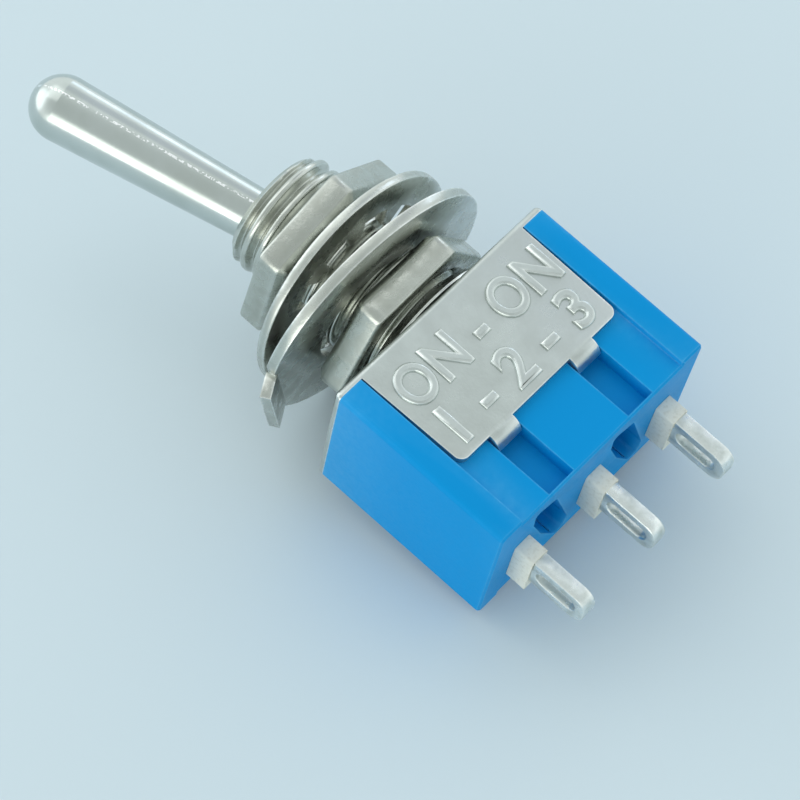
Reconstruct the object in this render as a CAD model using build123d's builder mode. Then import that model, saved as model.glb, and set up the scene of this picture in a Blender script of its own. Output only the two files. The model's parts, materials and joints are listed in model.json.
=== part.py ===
"""Miniature toggle switch: one pole, two positions, threaded bushing, solder lugs.

Frame: millimetres, +Z along the bushing towards the lever. The origin lies on the bushing's
axis at the top face of the mounting bracket. X runs along the row of terminals, and the
bracket's two broad flanges face -Y and +Y. The lever is thrown towards -X.
"""
import os
from math import cos, hypot, radians, sin, sqrt, tan

from build123d import *

# Clearances
running_gap = 0.05          # radial play of a moving piece in its seat
slip_gap = 0.03             # play of a fixed piece in its hole or on the thread
contact_gap = 0.02          # air left between closed contacts

# Housing
body_length = 13.2          # along the row of terminals
body_width = 7.9
body_height = 9.3
corner_radius = 0.28
flange_thickness = 0.35     # sheet of the mounting bracket
wall_inset = flange_thickness   # broad faces lie back by the sheet, flush with the end ribs
rib_inner_x = 5.27          # inner edge of the four end ribs
groove_spacing = 5.2        # between the two crimp grooves of one broad face
groove_width = 1.6
groove_depth = 0.9
groove_head = 0.5           # groove starts this far above the foot of the flange
groove_web = 0.15           # floor web that closes a groove at the bottom
cavity_length = 11.2
cavity_width = 3.8
floor_thickness = 1.85
rim_chamfer = 0.1           # round the bottom's outline

# Moulding pockets in the bottom, between the terminals
pocket_depth = 1.2
pocket_pitch = 5.1
pocket_corner = 0.25
pocket_outline = [(-4.2, -2.85), (-2.75, -2.35), (-1.0, 2.2), (-1.15, 3.2), (-1.65, 3.2), (-3.1, 0.8), (-4.1, -1.6)]

# Mounting bracket
flange_length = 10.4
flange_taper = 0.1          # each side draws in by this much at the foot
flange_drop = 6.0           # top face to the foot of the flange
flange_corner = 0.45
bend_radius = 0.28
crimp_width = 1.45
crimp_inner_radius = 0.25
crimp_angle = 60.0
crimp_tip = 0.3             # straight length past the bend

# Insulating cover under the bracket
cover_thickness = 0.4
cover_ledge = 0.45          # overlap of the cover on the cavity's rim
cover_slot_play = 0.2

# Bushing
thread_radius = 3.0
thread_pitch = 0.75
thread_depth = 0.3          # ridges stand for the thread
thread_runout = 0.55        # plain neck between the collar and the first ridge
bushing_height = 9.3
thread_chamfer = 0.4
collar_radius = 4.0
collar_height = 0.5
spigot_radius = 3.1         # staked into the bracket's hole
socket_flare_height = 1.8   # the socket widens below this height
socket_flare_radius = 2.65
throat_radius = 1.72
throat_top = 6.7
mouth_radius = 2.25

# Lever
lever_pivot_height = 5.2
lever_half_swing = 12.8
lever_reach = 15.95         # pivot to the tip of the bat
ball_radius = 2.0
neck_radius = 1.24
neck_end = 4.1              # the bat's taper starts this far from the pivot
bat_radius = 1.57
tail_radius = 1.1
tail_length = 8.0
tail_chamfer = 0.15
pin_radius = 0.4
pin_length = 4.8

# Plunger and its spring
plunger_radius = 0.68
plunger_length = 4.6
plunger_bore_end = 1.0      # top of the blind bore, below the pivot
spring_radius = 0.62
spring_wire_radius = 0.09
spring_turns = 4
spring_end_gap = 0.03

# Rocker contact
rocker_pivot_rise = 1.5     # above the cavity's floor
rocker_half_swing = 6.0
rocker_width = 2.4
saddle_half_length = 2.7
saddle_height = 1.25        # lowest point of the saddle above the rocker's pivot
saddle_lip = 0.45
arm_reach = 4.3             # rocker pivot to the contact point
arm_overhang = 0.45
arm_top = 0.4
arm_bottom = -0.05
button_half_length = 0.35
button_drop = 0.15          # contact point below the arm's underside
boss_half_length = 0.9
boss_drop = 0.1             # pivot boss below the arm's underside

# Terminals
terminal_pitch = 4.7
terminal_thickness = 0.75
terminal_width = 1.8
lug_length = 4.0
lug_tip_radius = 0.7
lug_hole_width = 0.85
lug_hole_length = 2.2
lug_hole_tip = 0.5          # metal left between hole and tip
foot_thickness = 0.4
foot_inner_reach = 1.1      # foot of a side terminal, from its centre towards the middle
rivet_radius = 0.55
rivet_crown = 0.13
rivet_flat = 0.2            # radius of the crown's flat top

# Moulded seals at the roots of the lugs
seal_length = 1.0
seal_front = 0.98           # past the terminal's centre, towards -Y
seal_back = 1.85
seal_height = 1.05
seal_corner = 0.14

# Nuts
nut_across_flats = 8.2
nut_height = 1.5
nut_roll = 0.36             # rounded rim on the punched side
nut_burr_edge = 0.1         # small bevel on the other side
nut_corner = 0.55
nut_bore_chamfer = 0.3
lower_nut_base = 0.84
lower_nut_turn = -4.0
upper_nut_base = 5.58
upper_nut_turn = 39.3

# Locating washer
locating_radius = 6.32
locating_thickness = 0.5
locating_bore_radius = 3.3
locating_shift_x = -0.26    # centre of its underside off the bushing's axis
locating_shift_y = 0.11
locating_base = 2.83
locating_lean_x = 0.4       # degrees about X
locating_lean_y = 3.6
tab_chord = 5.8             # washer centre to the fold line
tab_direction = 166.5       # polar angle of the tab
tab_width = 4.6
tab_bend = 33.0
tab_length = 1.37
tab_corner = 0.6
notch_angle = 15.6          # polar angle of the relief notch's edge on the rim
notch_direction = 50.0
notch_width = 1.8
notch_depth = 1.3

# Toothed lock washer
lock_radius = 5.75
lock_thickness = 0.45
lock_shift_x = -0.18
lock_shift_y = 0.07
lock_base = 4.12
lock_lean_x = -6.6
lock_lean_y = 1.5
lock_teeth = 10
lock_root_radius = 4.15
lock_tip_play = 0.22        # tooth tips past the thread
lock_tooth_share = 0.55     # share of the tooth circle that is tooth

# Derived heights and planes
bracket_underside = -flange_thickness
body_bottom = bracket_underside - body_height
cavity_top = bracket_underside - cover_thickness
cavity_floor = body_bottom + floor_thickness
recess_y = body_width / 2 - wall_inset
groove_top = -flange_drop + groove_head
rocker_pivot_height = cavity_floor + rocker_pivot_rise
pivot_distance = lever_pivot_height - rocker_pivot_height
plunger_reach = pivot_distance - saddle_height - running_gap
lever_plane = Plane(
    origin=(0, 0, lever_pivot_height),
    x_dir=(cos(radians(lever_half_swing)), 0, sin(radians(lever_half_swing))),
    z_dir=(0, -1, 0),
)
lever_axis = Axis(lever_plane.origin, lever_plane.y_dir)
rocker_plane = Plane(
    origin=(0, 0, rocker_pivot_height),
    x_dir=(cos(radians(rocker_half_swing)), 0, -sin(radians(rocker_half_swing))),
    z_dir=(0, -1, 0),
)


def leaning_plane(origin, lean_x, lean_y):
    """Plane through origin whose normal leans by the two angles, in degrees, about X and about Y."""
    about_x = radians(lean_x)
    about_y = radians(lean_y)
    return Plane(origin=origin, z_dir=(sin(about_y), -sin(about_x), cos(about_x) * cos(about_y)))


def hung_bore_centre(shift_x, shift_y, bore_radius):
    """Centre of a loose washer's bore, slid along its shift until the bore meets the thread."""
    shift = hypot(shift_x, shift_y)
    slide = min(shift, bore_radius - thread_radius - slip_gap)
    return shift_x * slide / shift, shift_y * slide / shift


# Bushing: threaded tube with a spherical socket for the lever's ball
socket_radius = ball_radius + running_gap
seat_rise = sqrt(socket_radius**2 - throat_radius**2)
pin_slot_width = 2 * (pin_radius + slip_gap)
thread_top = bushing_height - thread_chamfer
ridge_count = int((thread_top - collar_height - thread_runout) / thread_pitch)
thread_ridges = [(thread_radius - thread_depth, collar_height)]
for ridge in range(ridge_count, -1, -1):
    thread_ridges.append((thread_radius, thread_top - ridge * thread_pitch))
    if ridge > 0:
        thread_ridges.append((thread_radius - thread_depth, thread_top - (ridge - 0.5) * thread_pitch))

with BuildPart() as bushing:
    with BuildSketch(Plane.XZ):
        with BuildLine():
            Polyline(
                (socket_radius, lever_pivot_height),
                (socket_radius, socket_flare_height),
                (socket_flare_radius, 0),
                (socket_flare_radius, bracket_underside),
                (spigot_radius, bracket_underside),
                (spigot_radius, 0),
                (collar_radius, 0),
                (collar_radius, collar_height),
                *thread_ridges,
                (thread_radius - thread_chamfer, bushing_height),
                (mouth_radius, bushing_height),
                (throat_radius, throat_top),
                (throat_radius, lever_pivot_height + seat_rise),
            )
            RadiusArc(
                (throat_radius, lever_pivot_height + seat_rise),
                (socket_radius, lever_pivot_height),
                socket_radius,
            )
        make_face()
    revolve(axis=Axis.Z)
    # Slots for the pivot pin, open from below
    with BuildSketch(Plane.XZ):
        with Locations((0, lever_pivot_height)):
            Circle(pin_slot_width / 2)
        with Locations((0, bracket_underside)):
            Rectangle(pin_slot_width, lever_pivot_height - bracket_underside, align=(Align.CENTER, Align.MIN))
    extrude(amount=pin_length / 2 + slip_gap, both=True, mode=Mode.SUBTRACT)

# Mounting bracket: folded sheet with a flange and two crimp tabs on each broad side
with BuildPart() as mounting_bracket:
    with BuildSketch(Plane.XY.offset(bracket_underside)):
        RectangleRounded(body_length, body_width, corner_radius)
    extrude(amount=flange_thickness)
    with BuildSketch(Plane.XZ.offset(recess_y)):
        with BuildLine():
            Polyline(
                (-flange_length / 2, bracket_underside),
                (flange_length / 2, bracket_underside),
                (flange_length / 2 - flange_taper, -flange_drop),
                (-flange_length / 2 + flange_taper, -flange_drop),
                close=True,
            )
        make_face()
        with Locations((0, -flange_thickness / 2)):
            Rectangle(flange_length, flange_thickness)
    extrude(amount=flange_thickness)
    foot_corners = edges().filter_by(Axis.Y).group_by(Axis.Z)[0]
    fillet(foot_corners, flange_corner)
    crimp_outer_radius = crimp_inner_radius + flange_thickness
    bend_centre_y = recess_y - crimp_inner_radius
    bend_end = radians(crimp_angle)
    tip_y = bend_centre_y - crimp_tip * sin(bend_end)
    tip_z = -flange_drop - crimp_tip * cos(bend_end)
    for x in (-groove_spacing / 2, groove_spacing / 2):
        with BuildSketch(Plane(origin=(x, 0, 0), x_dir=(0, -1, 0), z_dir=(-1, 0, 0))):
            with BuildLine():
                Line((recess_y, -flange_drop), (body_width / 2, -flange_drop))
                CenterArc((bend_centre_y, -flange_drop), crimp_outer_radius, 0, -crimp_angle)
                Polyline(
                    (
                        bend_centre_y + crimp_outer_radius * cos(bend_end),
                        -flange_drop - crimp_outer_radius * sin(bend_end),
                    ),
                    (tip_y + crimp_outer_radius * cos(bend_end), tip_z - crimp_outer_radius * sin(bend_end)),
                    (tip_y + crimp_inner_radius * cos(bend_end), tip_z - crimp_inner_radius * sin(bend_end)),
                    (
                        bend_centre_y + crimp_inner_radius * cos(bend_end),
                        -flange_drop - crimp_inner_radius * sin(bend_end),
                    ),
                )
                CenterArc((bend_centre_y, -flange_drop), crimp_inner_radius, -crimp_angle, crimp_angle)
            make_face()
        extrude(amount=crimp_width / 2, both=True)
    front_half = edges().filter_by(Axis.X).group_by(Axis.Z)[-1].sort_by(Axis.Y)[0]
    fillet(front_half, bend_radius)
    split(bisect_by=Plane.XZ, keep=Keep.TOP)
    mirror(about=Plane.XZ)
    with BuildSketch(Plane.XY.offset(bracket_underside)):
        Circle(spigot_radius + slip_gap)
    extrude(amount=flange_thickness, mode=Mode.SUBTRACT)

# Housing: moulded box with end ribs, crimp grooves, a cavity and bottom pockets
with BuildPart() as housing:
    with BuildSketch(Plane.XY.offset(body_bottom)):
        RectangleRounded(body_length, body_width, corner_radius)
    extrude(amount=body_height)
    # Recess of each broad face between the end ribs
    with BuildSketch(Plane.XY.offset(body_bottom)):
        with Locations((0, recess_y), (0, -recess_y - wall_inset)):
            Rectangle(2 * rib_inner_x, wall_inset, align=(Align.CENTER, Align.MIN))
    extrude(amount=body_height, mode=Mode.SUBTRACT)
    bottom_rim = faces().sort_by(Axis.Z)[0].outer_wire().edges()
    chamfer(bottom_rim, rim_chamfer)
    # Crimp grooves
    groove_floor = recess_y - groove_depth
    with BuildSketch(Plane.XY.offset(body_bottom + groove_web)):
        with GridLocations(groove_spacing, 2 * (groove_floor + groove_depth / 2), 2, 2):
            Rectangle(groove_width, groove_depth)
    extrude(amount=groove_top - body_bottom - groove_web, mode=Mode.SUBTRACT)
    # Contact chamber and the ledge for its cover
    with BuildSketch(Plane.XY.offset(cavity_floor)):
        RectangleRounded(cavity_length, cavity_width, corner_radius)
    extrude(amount=cavity_top - cavity_floor, mode=Mode.SUBTRACT)
    with BuildSketch(Plane.XY.offset(cavity_top)):
        RectangleRounded(cavity_length + 2 * cover_ledge, cavity_width + 2 * cover_ledge, corner_radius)
    extrude(amount=cover_thickness, mode=Mode.SUBTRACT)
    # Slots for the three terminals
    with BuildSketch(Plane.XY.offset(body_bottom)):
        with GridLocations(terminal_pitch, 1, 3, 1):
            Rectangle(terminal_thickness + 2 * slip_gap, terminal_width + 2 * slip_gap)
    extrude(amount=floor_thickness, mode=Mode.SUBTRACT)
    # Moulding pockets
    with BuildSketch(Plane.XY.offset(body_bottom)):
        with Locations((0, 0), (pocket_pitch, 0)):
            Polygon(*pocket_outline, align=None)
        fillet(vertices(), pocket_corner)
    extrude(amount=pocket_depth, mode=Mode.SUBTRACT)

# Insulating cover: sheet under the bracket with a slot for the lever's tail
tail_drop = lever_pivot_height - cavity_top
tail_swing = tail_drop * tan(radians(lever_half_swing)) + tail_radius / cos(radians(lever_half_swing))
with BuildPart() as insulating_cover:
    with BuildSketch(Plane.XY.offset(cavity_top)):
        RectangleRounded(
            cavity_length + 2 * cover_ledge - 2 * slip_gap,
            cavity_width + 2 * cover_ledge - 2 * slip_gap,
            corner_radius,
        )
        SlotOverall(2 * (tail_swing + cover_slot_play), 2 * (tail_radius + cover_slot_play), mode=Mode.SUBTRACT)
    extrude(amount=cover_thickness)

# Toggle lever: bat, ball, and hollow tail for the plunger
dome_centre = lever_reach - bat_radius
neck_join = sqrt(ball_radius**2 - neck_radius**2)
tail_join = sqrt(ball_radius**2 - tail_radius**2)
plunger_bore_radius = plunger_radius + running_gap

with BuildPart() as toggle_lever:
    with BuildSketch(lever_plane):
        with BuildLine():
            Line((0, -tail_length), (tail_radius - tail_chamfer, -tail_length))
            Line((tail_radius - tail_chamfer, -tail_length), (tail_radius, -tail_length + tail_chamfer))
            Line((tail_radius, -tail_length + tail_chamfer), (tail_radius, -tail_join))
            ThreePointArc((tail_radius, -tail_join), (ball_radius, 0), (neck_radius, neck_join))
            Line((neck_radius, neck_join), (neck_radius, neck_end))
            Line((neck_radius, neck_end), (bat_radius, dome_centre))
            RadiusArc((bat_radius, dome_centre), (0, lever_reach), -bat_radius)
            Line((0, lever_reach), (0, -tail_length))
        make_face()
    revolve(axis=lever_axis)
    with BuildSketch(lever_plane):
        with BuildLine():
            Polyline(
                (0, -tail_length),
                (plunger_bore_radius, -tail_length),
                (plunger_bore_radius, -plunger_bore_end),
                (0, -plunger_bore_end),
                close=True,
            )
        make_face()
    revolve(axis=lever_axis, mode=Mode.SUBTRACT)
    with BuildSketch(lever_plane):
        Circle(pin_radius + running_gap)
    extrude(amount=ball_radius, both=True, mode=Mode.SUBTRACT)

with BuildPart() as pivot_pin:
    with BuildSketch(Plane.XZ):
        with Locations((0, lever_pivot_height)):
            Circle(pin_radius)
    extrude(amount=pin_length / 2, both=True)

# Plunger with a round tip, and the spring above it in the lever's tail
plunger_top = plunger_length - plunger_reach
with BuildPart() as plunger:
    with BuildSketch(lever_plane):
        with BuildLine():
            RadiusArc(
                (0, -plunger_reach),
                (plunger_radius, plunger_radius - plunger_reach),
                -plunger_radius,
            )
            Polyline(
                (plunger_radius, plunger_radius - plunger_reach),
                (plunger_radius, plunger_top),
                (0, plunger_top),
                (0, -plunger_reach),
            )
        make_face()
    revolve(axis=lever_axis)

coil_start = plunger_top + spring_end_gap + spring_wire_radius
coil_end = -plunger_bore_end - spring_end_gap - spring_wire_radius
coil_radius = spring_radius - spring_wire_radius
with BuildPart() as plunger_spring:
    with BuildLine():
        coil = Helix(
            pitch=(coil_end - coil_start) / spring_turns,
            height=coil_end - coil_start,
            radius=coil_radius,
            center=lever_plane.from_local_coords((0, coil_start, 0)),
            direction=lever_plane.y_dir,
        )
    # The wire's section is a square, which keeps the coil light
    with BuildSketch(Plane(origin=coil @ 0, z_dir=coil % 0)):
        RegularPolygon(spring_wire_radius, 4)
    sweep(path=coil, is_frenet=True)

# Rocker contact: its saddle follows the plunger's tip over the lever's whole throw
tip_centre_reach = plunger_reach - plunger_radius
throw = radians(lever_half_swing)
rock = radians(rocker_half_swing)
tip_x = tip_centre_reach * sin(throw)
tip_z = pivot_distance - tip_centre_reach * cos(throw)
path_x = tip_x * cos(rock) - tip_z * sin(rock)
path_low = pivot_distance - tip_centre_reach
path_rise = tip_x * sin(rock) + tip_z * cos(rock) - path_low
path_radius = (path_x**2 + path_rise**2) / (2 * path_rise)
saddle_radius = path_radius + plunger_radius + running_gap
saddle_high = saddle_height + saddle_radius - sqrt(saddle_radius**2 - saddle_half_length**2)
notch_radius = terminal_thickness / 2 + running_gap
lip_x = saddle_half_length + saddle_lip
boss_bottom = arm_bottom - boss_drop
button_bottom = arm_bottom - button_drop

with BuildPart() as rocker_contact:
    with BuildSketch(rocker_plane):
        with BuildLine():
            ThreePointArc((0, notch_radius), (notch_radius * cos(radians(45)), notch_radius * sin(radians(45))),
                          (notch_radius, 0))
            Polyline(
                (notch_radius, 0),
                (notch_radius, boss_bottom),
                (boss_half_length, boss_bottom),
                (boss_half_length + boss_drop, arm_bottom),
                (arm_reach - button_half_length, arm_bottom),
            )
            ThreePointArc(
                (arm_reach - button_half_length, arm_bottom),
                (arm_reach, button_bottom),
                (arm_reach + button_half_length, arm_bottom),
            )
            Polyline(
                (arm_reach + button_half_length, arm_bottom),
                (arm_reach + arm_overhang, arm_bottom),
                (arm_reach + arm_overhang, arm_top),
                (lip_x, arm_top),
                (lip_x, saddle_high),
                (saddle_half_length, saddle_high),
            )
            RadiusArc((saddle_half_length, saddle_high), (0, saddle_height), saddle_radius)
            Line((0, saddle_height), (0, notch_radius))
        make_face()
        mirror(about=Plane.YZ)
    extrude(amount=rocker_width / 2, both=True)

# Terminals: the middle one carries the rocker, the side ones carry the fixed contacts
lug_tip = body_bottom - lug_length
foot_top = cavity_floor + foot_thickness
rivet_x = arm_reach * cos(rock) + button_bottom * sin(rock)
rivet_top = rocker_pivot_height - arm_reach * sin(rock) + button_bottom * cos(rock) - contact_gap


def shape_lug(x):
    """Round the tip of the terminal at x and cut its wire hole, in the active part."""
    tip_edges = edges().filter_by(Axis.X).group_by(Axis.Z)[0]
    fillet(tip_edges, lug_tip_radius)
    with BuildSketch(Plane(origin=(x, 0, 0), x_dir=(0, 1, 0), z_dir=(1, 0, 0))) as wire_hole:
        with Locations((0, lug_tip + lug_hole_tip + lug_hole_length / 2)):
            SlotOverall(lug_hole_length, lug_hole_width, rotation=90)
    extrude(wire_hole.sketch, amount=terminal_thickness, both=True, mode=Mode.SUBTRACT)


with BuildPart() as terminal_common:
    with BuildSketch(Plane.XZ):
        with Locations((0, rocker_pivot_height)):
            Circle(terminal_thickness / 2)
            Rectangle(terminal_thickness, rocker_pivot_height - lug_tip, align=(Align.CENTER, Align.MAX))
    extrude(amount=terminal_width / 2, both=True)
    shape_lug(0)
terminal_common.part.label = "terminal_common"
export_names = [terminal_common]

for side, side_name in ((-1, "left"), (1, "right")):
    with BuildPart() as terminal:
        with BuildSketch(Plane.XZ):
            with Locations((side * terminal_pitch, foot_top)):
                Rectangle(terminal_thickness, foot_top - lug_tip, align=(Align.CENTER, Align.MAX))
            with Locations((side * (terminal_pitch - (foot_inner_reach - terminal_thickness / 2) / 2), foot_top)):
                Rectangle(foot_inner_reach + terminal_thickness / 2, foot_thickness, align=(Align.CENTER, Align.MAX))
        extrude(amount=terminal_width / 2, both=True)
        shape_lug(side * terminal_pitch)
    terminal.part.label = f"terminal_{side_name}"
    export_names.append(terminal)

    with BuildPart() as contact:
        with BuildSketch(Plane.XZ):
            with BuildLine():
                Polyline(
                    (side * rivet_x, rivet_top),
                    (side * rivet_x, foot_top),
                    (side * rivet_x + rivet_radius, foot_top),
                    (side * rivet_x + rivet_radius, rivet_top - rivet_crown),
                    (side * rivet_x + rivet_flat, rivet_top),
                    close=True,
                )
            make_face()
        revolve(axis=Axis((side * rivet_x, 0, 0), (0, 0, 1)))
    contact.part.label = f"contact_{side_name}"
    export_names.append(contact)

# Moulded seals round the roots of the lugs
for x, seal_name in ((-terminal_pitch, "left"), (0, "common"), (terminal_pitch, "right")):
    with BuildPart() as seal:
        with BuildSketch(Plane.XY.offset(body_bottom)):
            with Locations((x, -seal_front)):
                Rectangle(seal_length, seal_front + seal_back, align=(Align.CENTER, Align.MIN))
        extrude(amount=-seal_height)
        fillet(edges().filter_by(Axis.Z), seal_corner)
        with BuildSketch(Plane.XY.offset(body_bottom)):
            with Locations((x, 0)):
                Rectangle(terminal_thickness + 2 * slip_gap, terminal_width + 2 * slip_gap)
        extrude(amount=-seal_height, mode=Mode.SUBTRACT)
    seal.part.label = f"seal_{seal_name}"
    export_names.append(seal)


def make_nut(base, turn, rolled_end):
    """Punched hexagon nut on the height base, its rolled side up (1) or down (-1)."""
    with BuildPart() as nut:
        with BuildSketch(Plane.XY.offset(base)):
            RegularPolygon(nut_across_flats / 2, 6, major_radius=False, rotation=turn)
        extrude(amount=nut_height)
        fillet(edges().filter_by(Axis.Z), nut_corner)
        ends = faces().filter_by(Axis.Z).sort_by(Axis.Z)
        chamfer(ends[-1 if rolled_end > 0 else 0].edges(), nut_roll)
        ends = faces().filter_by(Axis.Z).sort_by(Axis.Z)
        chamfer(ends[0 if rolled_end > 0 else -1].edges(), nut_burr_edge)
        with BuildSketch(Plane.XY.offset(base)):
            Circle(thread_radius + slip_gap)
        extrude(amount=nut_height, mode=Mode.SUBTRACT)
        chamfer(edges().filter_by(GeomType.CIRCLE).filter_by(lambda e: e.radius > thread_radius), nut_bore_chamfer)
    return nut


lower_nut = make_nut(lower_nut_base, lower_nut_turn, 1)
upper_nut = make_nut(upper_nut_base, upper_nut_turn, -1)

# Locating washer: a disc with one bent tab, lying loose on the thread
locating_plane = leaning_plane(
    (locating_shift_x, locating_shift_y, locating_base), locating_lean_x, locating_lean_y
)
tab_angle = radians(tab_direction)
tab_outward = locating_plane.x_dir * cos(tab_angle) + locating_plane.y_dir * sin(tab_angle)
tab_normal = locating_plane.z_dir * cos(radians(tab_bend)) + tab_outward * sin(radians(tab_bend))
fold_point = locating_plane.origin + tab_outward * tab_chord + locating_plane.z_dir * locating_thickness
tab_plane = Plane(
    origin=fold_point - tab_normal * locating_thickness,
    x_dir=tab_outward * cos(radians(tab_bend)) - locating_plane.z_dir * sin(radians(tab_bend)),
    z_dir=tab_normal,
)

notch_corner = (
    locating_radius * cos(radians(notch_angle)),
    locating_radius * sin(radians(notch_angle)),
)

with BuildPart() as locating_washer:
    with BuildSketch(locating_plane):
        Circle(locating_radius)
        with Locations(Location((0, 0), tab_direction)):
            with Locations((tab_chord, 0)):
                Rectangle(locating_radius, 2 * locating_radius, align=(Align.MIN, Align.CENTER), mode=Mode.SUBTRACT)
        with Locations(Location(notch_corner, notch_direction)):
            Rectangle(2 * notch_depth, notch_width, align=(Align.CENTER, Align.MIN), mode=Mode.SUBTRACT)
    extrude(amount=locating_thickness)
    with BuildSketch(tab_plane):
        Rectangle(tab_length, tab_width, align=(Align.MIN, Align.CENTER))
        outer_corners = vertices().sort_by(Axis(tab_plane.origin, tab_plane.x_dir))[-2:]
        fillet(outer_corners, tab_corner)
    extrude(amount=locating_thickness)
    with BuildSketch(Plane.XY):
        with Locations(hung_bore_centre(locating_shift_x, locating_shift_y, locating_bore_radius)):
            Circle(locating_bore_radius)
    extrude(amount=bushing_height, mode=Mode.SUBTRACT)

# Lock washer: a ring with teeth pointing inwards to the thread
lock_plane = leaning_plane((lock_shift_x, lock_shift_y, lock_base), lock_lean_x, lock_lean_y)
tooth_tip_radius = thread_radius + lock_tip_play
tooth_step = 360 / lock_teeth
with BuildPart() as lock_washer:
    with BuildSketch(lock_plane):
        Circle(lock_radius)
        Circle(lock_root_radius, mode=Mode.SUBTRACT)
        with PolarLocations(0, lock_teeth):
            with Locations(((tooth_tip_radius + lock_root_radius) / 2, 0)):
                tooth_root_width = lock_tooth_share * tooth_step * lock_root_radius * radians(1)
                tooth_length = lock_root_radius - tooth_tip_radius + lock_thickness
                Trapezoid(tooth_root_width, tooth_length, 72, rotation=90)
    extrude(amount=lock_thickness)
    with BuildSketch(Plane.XY):
        with Locations(hung_bore_centre(lock_shift_x, lock_shift_y, tooth_tip_radius)):
            Circle(tooth_tip_radius)
    extrude(amount=bushing_height, mode=Mode.SUBTRACT)

named_parts = {
    "bushing": bushing,
    "mounting_bracket": mounting_bracket,
    "housing": housing,
    "insulating_cover": insulating_cover,
    "toggle_lever": toggle_lever,
    "pivot_pin": pivot_pin,
    "plunger": plunger,
    "plunger_spring": plunger_spring,
    "rocker_contact": rocker_contact,
    "lower_nut": lower_nut,
    "upper_nut": upper_nut,
    "locating_washer": locating_washer,
    "lock_washer": lock_washer,
}
for name, builder in named_parts.items():
    builder.part.label = name
    export_names.append(builder)

os.makedirs("parts", exist_ok=True)
for builder in export_names:
    export_step(builder.part, f"parts/{builder.part.label}.step")
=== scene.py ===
"""Finish and staging of a miniature toggle switch lying on a pale table.

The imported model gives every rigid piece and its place. This file adds the screw thread, the
raised marks, softened edges, the surface finishes, and the table with its light and camera.
"""
import json
import logging
from dataclasses import dataclass
from enum import Enum
from functools import cache
from math import atan2, ceil, cos, degrees, pi, radians, sin, sqrt

import bmesh
import bpy
from mathutils import Matrix, Vector

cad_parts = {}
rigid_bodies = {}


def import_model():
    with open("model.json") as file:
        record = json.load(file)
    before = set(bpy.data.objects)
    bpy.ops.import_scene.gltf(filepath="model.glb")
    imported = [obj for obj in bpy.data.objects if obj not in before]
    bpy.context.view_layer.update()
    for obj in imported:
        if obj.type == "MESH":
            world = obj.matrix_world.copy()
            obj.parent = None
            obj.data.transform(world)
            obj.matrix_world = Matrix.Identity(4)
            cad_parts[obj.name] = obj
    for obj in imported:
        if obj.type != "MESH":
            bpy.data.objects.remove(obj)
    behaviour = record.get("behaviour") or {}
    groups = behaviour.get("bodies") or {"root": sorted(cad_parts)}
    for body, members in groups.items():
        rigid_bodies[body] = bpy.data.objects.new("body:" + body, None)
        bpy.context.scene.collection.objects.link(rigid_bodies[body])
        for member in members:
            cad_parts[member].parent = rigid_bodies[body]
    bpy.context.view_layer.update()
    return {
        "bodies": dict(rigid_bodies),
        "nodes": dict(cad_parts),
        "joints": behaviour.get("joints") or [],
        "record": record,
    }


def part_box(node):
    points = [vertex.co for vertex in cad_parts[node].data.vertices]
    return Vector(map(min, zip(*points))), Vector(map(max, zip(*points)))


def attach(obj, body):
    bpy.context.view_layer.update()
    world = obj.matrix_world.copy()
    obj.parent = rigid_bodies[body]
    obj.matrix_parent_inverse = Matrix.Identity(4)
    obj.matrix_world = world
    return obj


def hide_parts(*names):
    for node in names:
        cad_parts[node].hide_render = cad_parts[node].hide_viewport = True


MM = 0.001
MICRON = 1e-6
WELD = 1.0 * MICRON             # points nearer than this are one point
FLAT = 0.5                      # degrees; faces that turn less than this are one flat
LOG = logging.getLogger("toggle_switch")

Socket = bpy.types.NodeSocket
Feed = Socket | Vector | tuple | float      # what an input of a node can be given


class Mixing(Enum):
    """How one colour is laid on another."""

    PLAIN = "MIX"
    ADD = "ADD"
    MULTIPLY = "MULTIPLY"


# ---------------------------------------------------------------------------------------
# Meshes
# ---------------------------------------------------------------------------------------


def show(name: str, data: bpy.types.ID) -> bpy.types.Object:
    """Makes an object of a mesh, curve, lamp or camera.

    Args:
        name: the object's name.
        data: what it shows.

    Returns:
        The new object, linked to the scene.
    """
    holder = bpy.data.objects.new(name, data)
    bpy.context.scene.collection.objects.link(holder)
    return holder


def make_piece(name: str, vertices: list, faces: list) -> bpy.types.Object:
    """Makes a mesh object from points in metres.

    Args:
        name: the object's name.
        vertices: the points.
        faces: tuples of point numbers.

    Returns:
        The new object, linked to the scene.
    """
    mesh = bpy.data.meshes.new(name)
    mesh.from_pydata([tuple(vertex) for vertex in vertices], [], faces)
    mesh.update()
    return show(name, mesh)


def tidy_mesh(piece: bpy.types.Object) -> None:
    """Welds coincident points, drops empty faces and turns all faces outwards.

    Args:
        piece: the object whose mesh is cleaned.
    """
    work = bmesh.new()
    work.from_mesh(piece.data)
    bmesh.ops.remove_doubles(work, verts=work.verts, dist=WELD)
    bmesh.ops.dissolve_degenerate(work, edges=work.edges, dist=WELD)
    bmesh.ops.recalc_face_normals(work, faces=work.faces)
    work.to_mesh(piece.data)
    work.free()


def shade_by_angle(piece: bpy.types.Object, crease: float) -> None:
    """Shades a mesh smooth and keeps its sharp edges crisp.

    Args:
        piece: the object.
        crease: edges that turn at least this, in degrees, stay crisp.
    """
    work = bmesh.new()
    work.from_mesh(piece.data)
    for face in work.faces:
        face.smooth = True
    for edge in work.edges:
        edge.smooth = edge.calc_face_angle(0.0) < radians(crease)
    work.to_mesh(piece.data)
    work.free()


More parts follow.
